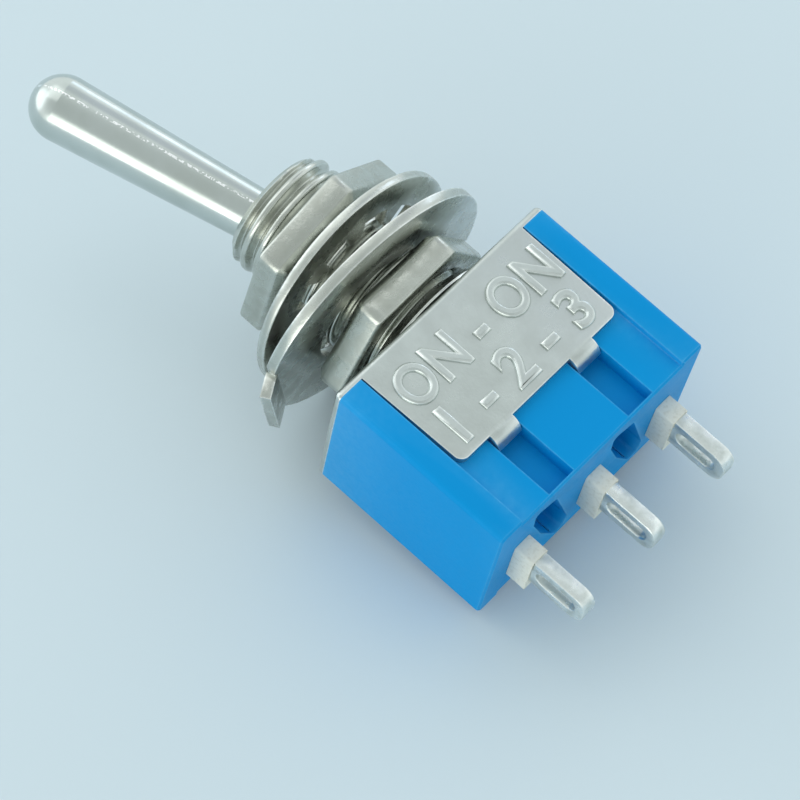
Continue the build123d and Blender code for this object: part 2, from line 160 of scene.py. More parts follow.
def soften_edges(piece: bpy.types.Object, width: float, segments: int, crease: float) -> None:
    """Rounds the sharp edges of a piece with modifiers only, so its own mesh stays.

    Args:
        piece: the object.
        width: width of the rounded strip, in metres.
        segments: strips across the rounding.
        crease: edges that turn more than this, in degrees, are rounded.
    """
    weld = piece.modifiers.new("Weld", "WELD")
    weld.merge_threshold = WELD
    flat = piece.modifiers.new("Join flats", "DECIMATE")
    flat.decimate_type = "DISSOLVE"
    flat.angle_limit = radians(FLAT)
    bevel = piece.modifiers.new("Soft edges", "BEVEL")
    bevel.width = width
    bevel.segments = segments
    bevel.limit_method = "ANGLE"
    bevel.angle_limit = radians(crease)
    bevel.harden_normals = True
    bevel.use_clamp_overlap = True
    for polygon in piece.data.polygons:
        polygon.use_smooth = True


def finish_as(piece: bpy.types.Object, material: bpy.types.Material) -> None:
    """Gives every face of a piece one material.

    Args:
        piece: the object.
        material: its finish.
    """
    if not piece.material_slots:
        piece.data.materials.append(material)
    for slot in piece.material_slots:
        slot.material = material


def lathe(name: str, outline: list, segments: int) -> bpy.types.Object:
    """Turns an outline about the Z axis.

    Args:
        name: the object's name.
        outline: (radius, height) pairs in metres, from one end of the axis to the other.
        segments: divisions round the axis.

    Returns:
        The turned piece.
    """
    vertices = []
    for radius, height in outline:
        for step in range(segments):
            angle = 2 * pi * step / segments
            vertices.append((radius * cos(angle), radius * sin(angle), height))
    faces = []
    for row in range(len(outline) - 1):
        here, above = row * segments, (row + 1) * segments
        for step in range(segments):
            following = (step + 1) % segments
            faces.append((here + step, here + following, above + following, above + step))
    piece = make_piece(name, vertices, faces)
    tidy_mesh(piece)
    return piece


def arc_points(centre: tuple, radius: float, start: float, end: float, steps: int) -> list:
    """Works out the points of an arc in an outline's plane.

    Args:
        centre: (radius, height) of the arc's centre.
        radius: the arc's radius.
        start: first angle in degrees, from the radius axis towards the height axis.
        end: last angle in degrees.
        steps: spans along the arc.

    Returns:
        A list of steps + 1 points.
    """
    points = []
    for step in range(steps + 1):
        angle = radians(start + (end - start) * step / steps)
        points.append((centre[0] + radius * cos(angle), centre[1] + radius * sin(angle)))
    return points


# ---------------------------------------------------------------------------------------
# Node trees
# ---------------------------------------------------------------------------------------


class NodeBench:
    """A node tree under construction, with short calls that place and join its nodes."""

    MIX_COLOURS = (6, 7)        # a Mix node's two colour inputs
    MIX_RESULT = 2              # its colour output

    def __init__(self, tree: bpy.types.NodeTree) -> None:
        """Opens a tree to work on.

        Args:
            tree: the tree that the calls add to.
        """
        self.nodes = tree.nodes
        self.link = tree.links.new

    def feed(self, socket: Socket, value: Feed) -> None:
        """Links an input to another node, or sets it.

        Args:
            socket: the input.
            value: a socket to link, or a number, vector or colour to set.
        """
        if isinstance(value, Socket):
            self.link(value, socket)
        else:
            socket.default_value = value

    def place(self, kind: str, **values: Feed) -> bpy.types.Node:
        """Places a node and feeds its inputs.

        Args:
            kind: the node's type.
            values: what its inputs get, by their names with _ for a space.

        Returns:
            The node.
        """
        node = self.nodes.new(kind)
        for label, value in values.items():
            self.feed(node.inputs[label.replace("_", " ")], value)
        return node

    def arithmetic(self, operation: str, *values: Feed, clamp: bool = False) -> Socket:
        """Takes one arithmetic step.

        Args:
            operation: the step, in Blender's words.
            values: one or two sockets or numbers.
            clamp: keep the result from 0 to 1.

        Returns:
            The result.
        """
        node = self.nodes.new("ShaderNodeMath")
        node.operation = operation
        node.use_clamp = clamp
        for socket, value in zip(node.inputs, values):
            self.feed(socket, value)
        return node.outputs["Value"]

    def vector_step(self, operation: str, first: Feed, second: Feed) -> bpy.types.Node:
        """Places a vector operation.

        Args:
            operation: the step, in Blender's words.
            first: a socket or vector.
            second: a socket or vector.

        Returns:
            The node, whose results are Value and Vector.
        """
        node = self.nodes.new("ShaderNodeVectorMath")
        node.operation = operation
        self.feed(node.inputs[0], first)
        self.feed(node.inputs[1], second)
        return node

    def reach(self, vector: Socket, direction: Feed) -> Socket:
        """Measures a vector along a direction.

        Args:
            vector: the vector's socket.
            direction: a socket or vector of length 1.

        Returns:
            The length, less than 0 against the direction.
        """
        return self.vector_step("DOT_PRODUCT", vector, direction).outputs["Value"]

    def ramp(self, value: Socket, start: Feed, end: Feed, smooth: bool = False) -> Socket:
        """Turns a value into a mask.

        Args:
            value: the value's socket.
            start: socket or number where the mask is 0.
            end: socket or number where the mask is 1.
            smooth: ease the mask in and out.

        Returns:
            The mask.
        """
        node = self.place("ShaderNodeMapRange", Value=value, From_Min=start, From_Max=end)
        if smooth:
            node.interpolation_type = "SMOOTHSTEP"
        return node.outputs["Result"]

    def noise(self, position: Socket, scale: Feed, detail: Feed = 2.0) -> Socket:
        """Places cloudy noise around one half.

        Args:
            position: where it is read.
            scale: socket or number of clouds to the metre.
            detail: socket or number of finer layers.

        Returns:
            The noise.
        """
        node = self.place("ShaderNodeTexNoise", Vector=position, Scale=scale, Detail=detail)
        return node.outputs["Fac"]

    def blend(self, mask: Socket, low: Feed, high: tuple, mixing: Mixing = Mixing.PLAIN) -> Socket:
        """Lays one colour on another by a mask.

        Args:
            mask: where the second colour shows.
            low: the colour below, or its socket.
            high: the colour on top.
            mixing: how it is laid.

        Returns:
            The mixed colour.
        """
        node = self.nodes.new("ShaderNodeMix")
        node.data_type = "RGBA"
        node.blend_type = mixing.value
        self.link(mask, node.inputs["Factor"])
        for index, colour in zip(self.MIX_COLOURS, (low, high)):
            self.feed(node.inputs[index], (*colour, 1.0) if isinstance(colour, tuple) else colour)
        return node.outputs[self.MIX_RESULT]


class EffectGroup(NodeBench):
    """One effect's node group under construction."""

    def __init__(self, name: str, inputs: dict, output: str) -> None:
        """Starts a group that reads a Position and puts out one number.

        Args:
            name: the group's name.
            inputs: its other inputs, a number or a vector as the default by name.
            output: the number's name.
        """
        self.tree = bpy.data.node_groups.new(name, "ShaderNodeTree")
        super().__init__(self.tree)
        face = self.tree.interface
        face.new_socket("Position", in_out="INPUT", socket_type="NodeSocketVector")
        for label, default in inputs.items():
            kind = "NodeSocketVector" if isinstance(default, tuple) else "NodeSocketFloat"
            face.new_socket(label, in_out="INPUT", socket_type=kind).default_value = default
        face.new_socket(output, in_out="OUTPUT", socket_type="NodeSocketFloat")
        self.given = self.nodes.new("NodeGroupInput").outputs
        self.result = self.nodes.new("NodeGroupOutput").inputs[output]


class Effects:
    """Shader node groups that the finishes share, each built once on first use."""

    LINE_DETAIL = 3.0
    EDGE_REACH = 0.11 * MM      # how far from an edge the rubbing and painted highlight reach
    EDGE_SAMPLES = 6
    EDGE_LEAN = (0.995, 0.93)   # cosine between the face and a rounded edge: plain, rubbed and painted bright
    EDGE_OUTER = (0.495, 0.51)  # pointiness: on flats and inner edges, on outer edges
    EDGE_GRAIN = 2500.0
    GLINT_WIDTH = 0.06 * MM      # half the width of a line of painted glints
    GLINT_GRAIN = 7000.0
    GLINT_DETAIL = 3.0
    GLINT_LEVEL = 0.52           # noise above this is a painted glint

    @staticmethod
    @cache
    def mottle() -> bpy.types.NodeTree:
        """Builds soft patches: a mask between 0 and 1 that varies slowly over the surface.

        Returns:
            The node group.
        """
        group = EffectGroup("Mottle", {"Scale": 800.0, "Detail": 4.0, "Low": 0.35, "High": 0.65}, "Mask")
        given = group.given
        cloud = group.noise(given["Position"], given["Scale"], given["Detail"])
        group.link(group.ramp(cloud, given["Low"], given["High"]), group.result)
        return group.tree

    @classmethod
    @cache
    def tool_marks(cls) -> bpy.types.NodeTree:
        """Builds fine drawn lines: a height that changes fast along one axis and slowly across it.

        Returns:
            The node group.
        """
        group = EffectGroup("Tool marks", {"Stretch": (400.0, 400.0, 6000.0)}, "Height")
        drawn = group.vector_step("MULTIPLY", group.given["Position"], group.given["Stretch"])
        group.link(group.noise(drawn.outputs["Vector"], 1.0, cls.LINE_DETAIL), group.result)
        return group.tree

    @classmethod
    @cache
    def edge_wear_and_highlight(cls) -> bpy.types.NodeTree:
        """Builds rubbed edges with painted highlight: a mask that is high on outer edges, broken up by fine
        grain; the paler colour it lays stands for both wear and the light that rounded edges catch.

        Returns:
            The node group.
        """
        group = EffectGroup("Rubbed and lit edges", {"Amount": 1.0}, "Mask")
        surface = group.nodes.new("ShaderNodeNewGeometry").outputs
        rounded = group.place("ShaderNodeBevel", Radius=cls.EDGE_REACH)
        rounded.samples = cls.EDGE_SAMPLES
        lean = group.reach(surface["True Normal"], rounded.outputs["Normal"])
        near = group.ramp(lean, *cls.EDGE_LEAN)
        outer = group.ramp(surface["Pointiness"], *cls.EDGE_OUTER)
        grain = group.noise(group.given["Position"], cls.EDGE_GRAIN)
        # the edge mask paints both rubbed wear and the highlight that rounded edges catch
        broken = group.arithmetic("MULTIPLY", group.arithmetic("MULTIPLY", near, outer), grain)
        worn_and_lit = group.arithmetic("MULTIPLY", broken, group.given["Amount"], clamp=True)
        group.link(worn_and_lit, group.result)
        return group.tree

    @classmethod
    @cache
    def painted_glint_line(cls) -> bpy.types.NodeTree:
        """Builds a broken line of painted glints: a painted highlight where a plane cuts the side that
        faces one way.

        Returns:
            The node group.
        """
        plane = {"Across": (1.0, 0.0, 0.0), "Facing": (0.0, -1.0, 0.0), "Shift": 0.0}
        group = EffectGroup("Painted glint line", {**plane, "Width": cls.GLINT_WIDTH}, "Mask")
        given = group.given
        position = given["Position"]
        offset = group.arithmetic("SUBTRACT", group.reach(position, given["Across"]), given["Shift"])
        on_line = group.arithmetic("LESS_THAN", group.arithmetic("ABSOLUTE", offset), given["Width"])
        in_front = group.arithmetic("GREATER_THAN", group.reach(position, given["Facing"]), 0.0)
        grain = group.noise(position, cls.GLINT_GRAIN, cls.GLINT_DETAIL)
        glint_mask = group.arithmetic("GREATER_THAN", grain, cls.GLINT_LEVEL)
        line = group.arithmetic("MULTIPLY", on_line, in_front)
        # the noise-broken spots on the line are painted highlight
        group.link(group.arithmetic("MULTIPLY", line, glint_mask), group.result)
        return group.tree


class FinishBuilder(NodeBench):
    """One material under construction."""

    def __init__(self, name: str) -> None:
        """Starts a node material.

        Args:
            name: the material's name.
        """
        self.material = bpy.data.materials.new(name)
        self.material.use_nodes = True
        super().__init__(self.material.node_tree)
        self.shader = self.nodes["Principled BSDF"]
        self.position = self.nodes.new("ShaderNodeTexCoord").outputs["Object"]

    def set(self, **values: Feed) -> None:
        """Feeds the shader's own sockets.

        Args:
            values: sockets or constants, by the sockets' names with _ for a space.
        """
        for label, value in values.items():
            self.feed(self.shader.inputs[label.replace("_", " ")], value)

    def effect(self, group: bpy.types.NodeTree, **values: float | tuple) -> Socket:
        """Places a shared effect that reads the object's own coordinates.

        Args:
            group: the node group.
            values: its inputs by name.

        Returns:
            The effect's output.
        """
        node = self.nodes.new("ShaderNodeGroup")
        node.node_tree = group
        self.link(self.position, node.inputs["Position"])
        for label, value in values.items():
            node.inputs[label].default_value = value
        return node.outputs[0]

    def spread(self, mask: Socket, low: float, high: float) -> Socket:
        """Stretches a mask.

        Args:
            mask: the mask.
            low: what 0 becomes.
            high: what 1 becomes.

        Returns:
            The stretched values.
        """
        return self.place("ShaderNodeMapRange", Value=mask, To_Min=low, To_Max=high).outputs["Result"]

    def bump(self, height: Socket, depth: float, below: bpy.types.Node | None = None) -> bpy.types.Node:
        """Adds a relief and feeds it to the shader's normal.

        Args:
            height: the height, from 0 to 1.
            depth: the relief at 1, in metres.
            below: an earlier relief that this one lies on.

        Returns:
            The relief's node.
        """
        node = self.place("ShaderNodeBump", Distance=depth, Strength=1.0, Height=height)
        if below is not None:
            self.link(below.outputs["Normal"], node.inputs["Normal"])
        self.set(Normal=node.outputs["Normal"])
        return node


# ---------------------------------------------------------------------------------------
# Finishes
# ---------------------------------------------------------------------------------------


@dataclass(frozen=True)
class PaintedGlintLine:
    """Where a broken line of painted highlight runs along the leaning lever: in a plane that holds its
    axis.
    """

    across: tuple = (0.9720, -0.0799, 0.2208)       # square to the plane
    facing: tuple = (-0.0779, -0.9968, -0.0177)     # in the plane, out of the lever's front
    shift: float = 1.1484 * MM                      # distance of the plane from the origin


@dataclass(frozen=True)
class NickelPlate:
    """Nickel on brass or steel, with drawn lines, cloudy patches, rubbed edges with painted highlight, and
    a broken line of painted glints where one is given.
    """

    name: str
    colour: tuple = (0.570, 0.588, 0.542)
    patch_colour: tuple = (0.455, 0.468, 0.420)
    # paler edge colour: wear and painted highlight
    edge_wear_and_highlight_colour: tuple = (0.88, 0.90, 0.87)
    # white of the painted glints along the lever
    painted_glint_colour: tuple = (1.0, 1.0, 1.0)
    roughness: tuple = (0.20, 0.34)
    patch_scale: float = 900.0
    stretch: tuple = (500.0, 500.0, 5000.0)
    line_depth: float = 2.0 * MICRON
    grain_scale: float = 7000.0
    grain_depth: float = 2.0 * MICRON
    wear_and_highlight: float = 1.5
    glint_plane: PaintedGlintLine | None = None

    def build(self) -> bpy.types.Material:
        """Builds the node material.

        Returns:
            The material.
        """
        finish = FinishBuilder(self.name)
        patches = finish.effect(Effects.mottle(), Scale=self.patch_scale, Detail=5.0, Low=0.38, High=0.66)
        grain = finish.effect(Effects.mottle(), Scale=self.grain_scale, Detail=2.0, Low=0.3, High=0.7)
        edges = finish.effect(Effects.edge_wear_and_highlight(), Amount=self.wear_and_highlight)
        lines = finish.effect(Effects.tool_marks(), Stretch=self.stretch)
        plated = finish.blend(patches, self.colour, self.patch_colour)
        # painted highlight and wear: a paler colour laid on the outer edges
        rubbed_and_lit = finish.blend(edges, plated, self.edge_wear_and_highlight_colour)
        if self.glint_plane is not None:
            plane = {"Across": self.glint_plane.across, "Facing": self.glint_plane.facing, "Shift": self.glint_plane.shift}
            glint_mask = finish.effect(Effects.painted_glint_line(), **plane)
            # painted highlight: a broken white line along the lever's front
            rubbed_and_lit = finish.blend(glint_mask, rubbed_and_lit, self.painted_glint_colour)
        finish.set(Base_Color=rubbed_and_lit, Roughness=finish.spread(patches, *self.roughness), Metallic=1.0)
        drawn = finish.bump(lines, self.line_depth)
        finish.bump(grain, self.grain_depth, below=drawn)
        return finish.material


@dataclass(frozen=True)
class MouldedPlastic:
    """Moulded thermoset with a faint grain and slightly paler edges, painted as rubbing and as highlight.
    """

    name: str
    colour: tuple = (0.001, 0.286, 0.668)
    patch_colour: tuple = (0.001, 0.279, 0.654)
    # paler edge colour: wear and painted highlight
    edge_wear_and_highlight_colour: tuple = (0.08, 0.40, 0.74)
    roughness: tuple = (0.36, 0.46)
    gloss: float = 0.09
    patch_scale: float = 300.0
    grain_scale: float = 5200.0
    grain_depth: float = 1.6 * MICRON
    wave_scale: float = 260.0
    wave_depth: float = 3.0 * MICRON
    wear_and_highlight: float = 1.3

    def build(self) -> bpy.types.Material:
        """Builds the node material.

        Returns:
            The material.
        """
        finish = FinishBuilder(self.name)
        patches = finish.effect(Effects.mottle(), Scale=self.patch_scale, Low=0.3, High=0.7)
        grain = finish.effect(Effects.mottle(), Scale=self.grain_scale, Detail=3.0, Low=0.25, High=0.75)
        waves = finish.effect(Effects.mottle(), Scale=self.wave_scale, Detail=1.0, Low=0.2, High=0.8)
        edges = finish.effect(Effects.edge_wear_and_highlight(), Amount=self.wear_and_highlight)
        base = finish.blend(patches, self.colour, self.patch_colour)
        # painted highlight and wear: a paler colour laid on the outer edges
        rubbed_and_lit = finish.blend(edges, base, self.edge_wear_and_highlight_colour)
        finish.set(Base_Color=rubbed_and_lit, Roughness=finish.spread(grain, *self.roughness))
        finish.set(IOR=1.5, Specular_IOR_Level=self.gloss)
        wavy = finish.bump(waves, self.wave_depth)
        finish.bump(grain, self.grain_depth, below=wavy)
        return finish.material


@dataclass(frozen=True)
class SealCompound:
    """Cream sealing compound: matt, slightly lumpy, with fine specks."""

    name: str
    colour: tuple = (0.82, 0.80, 0.70)
    speck_colour: tuple = (0.70, 0.67, 0.56)
    roughness: tuple = (0.5, 0.68)
    speck_scale: float = 5200.0
    speck_depth: float = 2.0 * MICRON
    lump_scale: float = 1500.0
    lump_depth: float = 16.0 * MICRON

    def build(self) -> bpy.types.Material:
        """Builds the node material.

        Returns:
            The material.
        """
        finish = FinishBuilder(self.name)
        specks = finish.effect(Effects.mottle(), Scale=self.speck_scale, Detail=3.0, Low=0.5, High=0.75)
        lumps = finish.effect(Effects.mottle(), Scale=self.lump_scale, Detail=1.0, Low=0.2, High=0.8)
        colour = finish.blend(specks, self.colour, self.speck_colour)
        finish.set(Base_Color=colour, Roughness=finish.spread(lumps, *self.roughness))
        lumpy = finish.bump(lumps, self.lump_depth)
        finish.bump(specks, self.speck_depth, below=lumpy)
        return finish.material


@dataclass(frozen=True)
class PlainStock:
    """Plain stock of the hidden pieces, finely flecked; as it stands, pressed fibre."""

    name: str
    colour: tuple
    fleck_colour: tuple
    metallic: float = 0.0
    roughness: tuple = (0.55, 0.75)
    fleck_scale: float = 2600.0
    fleck_depth: float = 3.0 * MICRON

    def build(self) -> bpy.types.Material:
        """Builds the node material.

        Returns:
            The material.
        """
        finish = FinishBuilder(self.name)
        flecks = finish.effect(Effects.mottle(), Scale=self.fleck_scale, Detail=4.0, Low=0.42, High=0.6)
        colour = finish.blend(flecks, self.colour, self.fleck_colour)
        finish.set(Base_Color=colour, Metallic=self.metallic)
        finish.set(Roughness=finish.spread(flecks, *self.roughness))
        finish.bump(flecks, self.fleck_depth)
        return finish.material


@dataclass(frozen=True)
class PlainAlloy(PlainStock):
    """Turned or drawn metal of the hidden pieces."""

    metallic: float = 1.0
    roughness: tuple = (0.25, 0.4)


@dataclass(frozen=True)
class FinishSet:
    """All the finishes of the switch."""

    bushing: bpy.types.Material
    nut: bpy.types.Material
    washer: bpy.types.Material
    bracket: bpy.types.Material
    lever: bpy.types.Material
    terminal: bpy.types.Material
    plastic: bpy.types.Material
    seal: bpy.types.Material
    fibre: bpy.types.Material
    brass: bpy.types.Material
    copper: bpy.types.Material
    wire: bpy.types.Material

    @classmethod
    def build(cls) -> "FinishSet":
        """Builds every material once.

        Returns:
            The finishes.
        """
        return cls(
            bushing=NickelPlate("Nickel bushing", roughness=(0.18, 0.30)).build(),
            nut=NickelPlate(
                "Nickel nuts", colour=(0.530, 0.547, 0.501), patch_colour=(0.450, 0.465, 0.419),
                roughness=(0.22, 0.34), patch_scale=1200.0, grain_depth=3.0 * MICRON).build(),
            washer=NickelPlate(
                "Nickel washers", colour=(0.555, 0.573, 0.530), patch_colour=(0.490, 0.506, 0.464),
                roughness=(0.24, 0.34), patch_scale=1000.0, grain_depth=3.0 * MICRON).build(),
            bracket=NickelPlate(
                "Nickel bracket", colour=(0.595, 0.635, 0.615), patch_colour=(0.535, 0.570, 0.550),
                roughness=(0.27, 0.38), grain_depth=3.0 * MICRON).build(),
            lever=NickelPlate(
                "Nickel lever", colour=(0.61, 0.65, 0.63), patch_colour=(0.54, 0.58, 0.55),
                # the lever gets a broken line of painted highlight
                roughness=(0.15, 0.24), patch_scale=500.0, grain_depth=0.5 * MICRON, glint_plane=PaintedGlintLine()).build(),
            terminal=NickelPlate(
                "Tinned terminals", colour=(0.82, 0.86, 0.85), patch_colour=(0.57, 0.61, 0.58),
                # strong paler edges on the lugs: wear and painted highlight
                roughness=(0.26, 0.46), patch_scale=1400.0, grain_depth=5.0 * MICRON, wear_and_highlight=2.0).build(),
            plastic=MouldedPlastic("Blue moulding").build(),
            seal=SealCompound("Cream seal").build(),
            fibre=PlainStock("Brown fibre", (0.20, 0.14, 0.09), (0.30, 0.22, 0.14)).build(),
            brass=PlainAlloy("Turned brass", (0.70, 0.52, 0.22), (0.58, 0.42, 0.17)).build(),
            copper=PlainAlloy("Copper alloy", (0.72, 0.45, 0.30), (0.60, 0.36, 0.24)).build(),
            wire=PlainAlloy("Spring wire", (0.50, 0.50, 0.50), (0.40, 0.40, 0.40)).build(),
        )


# ---------------------------------------------------------------------------------------
# Sub-assemblies
# ---------------------------------------------------------------------------------------


@dataclass
class ThreadedBushing:
    """Bushing with its screw thread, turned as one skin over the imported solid's place."""

    pitch: float = 0.75 * MM
    thread_radius: float = 3.0 * MM
    thread_depth: float = 0.36 * MM
    crest_share: float = 0.20       # of a pitch that stays at full radius
    root_share: float = 0.04        # of a pitch that lies at full depth
    run_in: float = 0.5             # pitches over which the groove reaches its depth
    chamfer: float = 0.4 * MM
    collar_radius: float = 4.0 * MM
    collar_height: float = 0.5 * MM
    shoulder_radius: float = 3.5 * MM
    lip_height: float = 0.10 * MM
    spigot_radius: float = 3.1 * MM
    flare_radius: float = 2.65 * MM
    socket_foot: float = 1.8 * MM
    socket_radius: float = 2.05 * MM
    throat_radius: float = 1.72 * MM
    throat_height: float = 6.7 * MM
    mouth_radius: float = 2.25 * MM
    mouth_rim: float = 0.06 * MM
    pivot_height: float = 5.2 * MM
    lap: float = 0.02 * MM          # how far the tube reaches under the thread
    segments: int = 144
    profile_steps: int = 12
    seat_steps: int = 8
    crease: float = 40.0

    def _depth_at(self, share: float) -> float:
        """Works out the depth of the groove.

        Args:
            share: place along one pitch, from 0 to 1.

        Returns:
            The depth below the thread's crest.
        """
        wave = abs(2 * share - 1)
        slope = min(max((wave - self.root_share) / (1 - self.root_share - self.crest_share), 0.0), 1.0)
        eased = slope * slope * (3 - 2 * slope)
        return self.thread_depth * (1 - eased)

    def _thread_points(self, low: float, high: float, columns: int) -> list:
        """Works out the screw surface, one pitch of profile in each column round the axis.

        Args:
            low: height where the thread meets the collar.
            high: height of the bushing's end.
            columns: columns of points, less one.

        Returns:
            The points, column after column.
        """
        points = []
        for column in range(columns + 1):
            angle = 2 * pi * column / self.segments
            for step in range(self.profile_steps):
                share = step / self.profile_steps
                height = low - self.pitch + self.pitch * (column / self.segments + share)
                limit = min(self.thread_radius, self.thread_radius - self.chamfer + max(high - height, 0.0))
                grown = min(max((height - low) / (self.run_in * self.pitch), 0.0), 1.0)
                radius = min(limit, self.thread_radius - self._depth_at(share) * grown)
                points.append((radius * cos(angle), radius * sin(angle), min(max(height, low), high)))
        return points

    def build_thread(self, low: float, high: float) -> bpy.types.Object:
        """Builds the outer screw surface between two heights.

        Args:
            low: height where the thread meets the collar.
            high: height of the bushing's end.

        Returns:
            The thread as an open skin, closed by the tube's own ends.
        """
        columns = (ceil((high - low) / self.pitch) + 1) * self.segments
        rows = self.profile_steps
        faces = []
        for column in range(columns):
            for step in range(rows):
                here = column * rows + step
                beside = here + rows
                if step < rows - 1:
                    faces.append((here, beside, beside + 1, here + 1))
                elif column + self.segments + 1 <= columns:
                    above = (column + self.segments) * rows
                    faces.append((here, beside, above + rows, above))
        piece = make_piece("bushing_thread", self._thread_points(low, high, columns), faces)
        tidy_mesh(piece)
        return piece

    def build_tube(self, low: float, high: float, base: float) -> bpy.types.Object:
        """Builds the collar, the spigot and the bore.

        Args:
            low: height of the collar's top.
            high: height of the bushing's end.
            base: height of the spigot's foot.

        Returns:
            The turned tube.
        """
        seat_height = sqrt(self.socket_radius ** 2 - self.throat_radius ** 2)
        seat_angle = degrees(atan2(seat_height, self.throat_radius))
        outline = [
            (self.thread_radius - self.thread_depth, low - self.lap),
            (self.shoulder_radius, low),
            (self.collar_radius, self.lip_height),
            (self.collar_radius, 0.0),
            (self.spigot_radius, 0.0),
            (self.spigot_radius, base),
            (self.flare_radius, base),
            (self.flare_radius, 0.0),
            (self.socket_radius, self.socket_foot),
            (self.socket_radius, self.pivot_height),
        ]
        outline += arc_points((0.0, self.pivot_height), self.socket_radius, 0, seat_angle, self.seat_steps)
        outline += [
            (self.throat_radius, self.throat_height),
            (self.mouth_radius - self.mouth_rim, high - 2 * self.mouth_rim),
            (self.mouth_radius, high),
            (self.thread_radius - self.chamfer, high),
        ]
        return lathe("bushing_tube", outline, self.segments)

    def assemble(self, finishes: FinishSet) -> None:
        """Builds the pieces, finishes them and puts them in the solid's place.

        Args:
            finishes: the switch's materials.
        """
        lowest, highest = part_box("bushing")
        thread = self.build_thread(self.collar_height, highest[2])
        tube = self.build_tube(self.collar_height, highest[2], lowest[2])
        for piece in (thread, tube):
            shade_by_angle(piece, self.crease)
            finish_as(piece, finishes.bushing)
            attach(piece, "body")
            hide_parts("bushing")
        LOG.info("bushing: thread of %d points", len(thread.data.vertices))


@dataclass
class RaisedMarks:
    """Plain marks pressed out of the bracket's flange: the switching pattern and lug numbers."""

    lines: tuple = ("ON - ON", "1 - 2 - 3")
    heights: tuple = (-0.90 * MM, -3.30 * MM)
    widths: tuple = (9.6 * MM, 8.8 * MM)
    letter_size: float = 2.70 * MM
    letter_spacing: float = 1.05
    thinning: float = 0.04 * MM     # taken off each side of a stroke before its edge is rounded
    thickness: float = 0.02 * MM
    edge_radius: float = 0.16 * MM
    edge_steps: int = 3
    relief: float = 0.16 * MM
    centre_x: float = 0.1 * MM
    crease: float = 50.0
    name_step: float = 0.01 * MM    # a line's name gives its depth below Z = 0 in this unit

    def _letters(self, text: str) -> bpy.types.Mesh:
        """Builds one line of letters lying flat, hanging from Y = 0.

        Args:
            text: the marks.

        Returns:
            The mesh.
        """
        curve = bpy.data.curves.new("marks", "FONT")
        curve.body = text
        curve.size = self.letter_size
        curve.align_x = "CENTER"
        curve.align_y = "TOP"
        curve.space_character = self.letter_spacing
        curve.offset = -self.thinning
        curve.extrude = self.thickness
        curve.bevel_depth = self.edge_radius
        curve.bevel_resolution = self.edge_steps
        holder = show("marks", curve)
        bpy.context.view_layer.update()
        mesh = bpy.data.meshes.new_from_object(holder.evaluated_get(bpy.context.evaluated_depsgraph_get()))
        bpy.data.objects.remove(holder)
        return mesh

    def build_line(self, text: str, top: float, width: float, face_y: float) -> bpy.types.Object:
        """Builds one line of letters standing proud of the -Y flange.

        Args:
            text: the marks.
            top: height that the line hangs from, just above its letters.
            width: length of the line, which the letters are fitted to.
            face_y: place of the flange's outer face.

        Returns:
            The letters as a mesh.
        """
        mesh = self._letters(text)
        across = [vertex.co.x for vertex in mesh.vertices]
        centred = Matrix.Translation((-(min(across) + max(across)) / 2, 0.0, 0.0))
        fitted = Matrix.Scale(width / (max(across) - min(across)), 4, (1.0, 0.0, 0.0))
        upright = Matrix.Rotation(radians(90), 4, "X") @ fitted @ centred
        sunk = self.edge_radius + self.thickness - self.relief
        place = Matrix.Translation((self.centre_x, face_y + sunk, top))
        mesh.transform(place @ upright)
        return show(f"flange_marks_{round(-top / self.name_step)}", mesh)

    def assemble(self, finishes: FinishSet) -> None:
        """Builds both lines on the front flange.

        Args:
            finishes: the switch's materials.
        """
        face_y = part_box("mounting_bracket")[0][1]
        for text, top, width in zip(self.lines, self.heights, self.widths):
            piece = self.build_line(text, top, width, face_y)
            shade_by_angle(piece, self.crease)
            finish_as(piece, finishes.bracket)
            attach(piece, "body")
            LOG.info("marks: %s", text)


@dataclass
class CarriedPart:
    """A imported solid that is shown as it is, with softened edges and a finish."""

    node: str
    material: bpy.types.Material
    edge_width: float = 0.0         # 0 leaves the edges as they are
    segments: int = 2
    crease: float = 30.0

    def dress(self, frame: dict) -> None:
        """Softens the edges and gives the finish.

        Args:
            frame: the loaded frame.
        """
        piece = frame["nodes"][self.node]
        if self.edge_width > 0:
            soften_edges(piece, self.edge_width, self.segments, self.crease)
        finish_as(piece, self.material)
        LOG.info("%s: carried, %d faces", self.node, len(piece.data.polygons))


def carried_parts(finishes: FinishSet) -> list:
    """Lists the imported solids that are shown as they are.

    Args:
        finishes: the switch's materials.

    Returns:
        The parts, outer ones first.
    """
    sides = ("left", "common", "right")
    outer = [
        CarriedPart("housing", finishes.plastic, edge_width=0.07 * MM),
        CarriedPart("mounting_bracket", finishes.bracket, edge_width=0.05 * MM),
        CarriedPart("lower_nut", finishes.nut, edge_width=0.06 * MM),
        CarriedPart("upper_nut", finishes.nut, edge_width=0.06 * MM),
        CarriedPart("locating_washer", finishes.washer, edge_width=0.07 * MM),
        CarriedPart("lock_washer", finishes.washer, edge_width=0.06 * MM),
        CarriedPart("toggle_lever", finishes.lever),
    ]
    outer += [CarriedPart("terminal_" + side, finishes.terminal, edge_width=0.08 * MM) for side in sides]
    outer += [CarriedPart("seal_" + side, finishes.seal, edge_width=0.05 * MM) for side in sides]
    inner = [
        CarriedPart("insulating_cover", finishes.fibre),
        CarriedPart("pivot_pin", finishes.wire),
        CarriedPart("contact_left", finishes.terminal),
        CarriedPart("contact_right", finishes.terminal),
        CarriedPart("plunger", finishes.brass),
        CarriedPart("plunger_spring", finishes.wire),
        CarriedPart("rocker_contact", finishes.copper),
    ]
    return outer + inner


# ---------------------------------------------------------------------------------------
# Table, light and camera
# ---------------------------------------------------------------------------------------


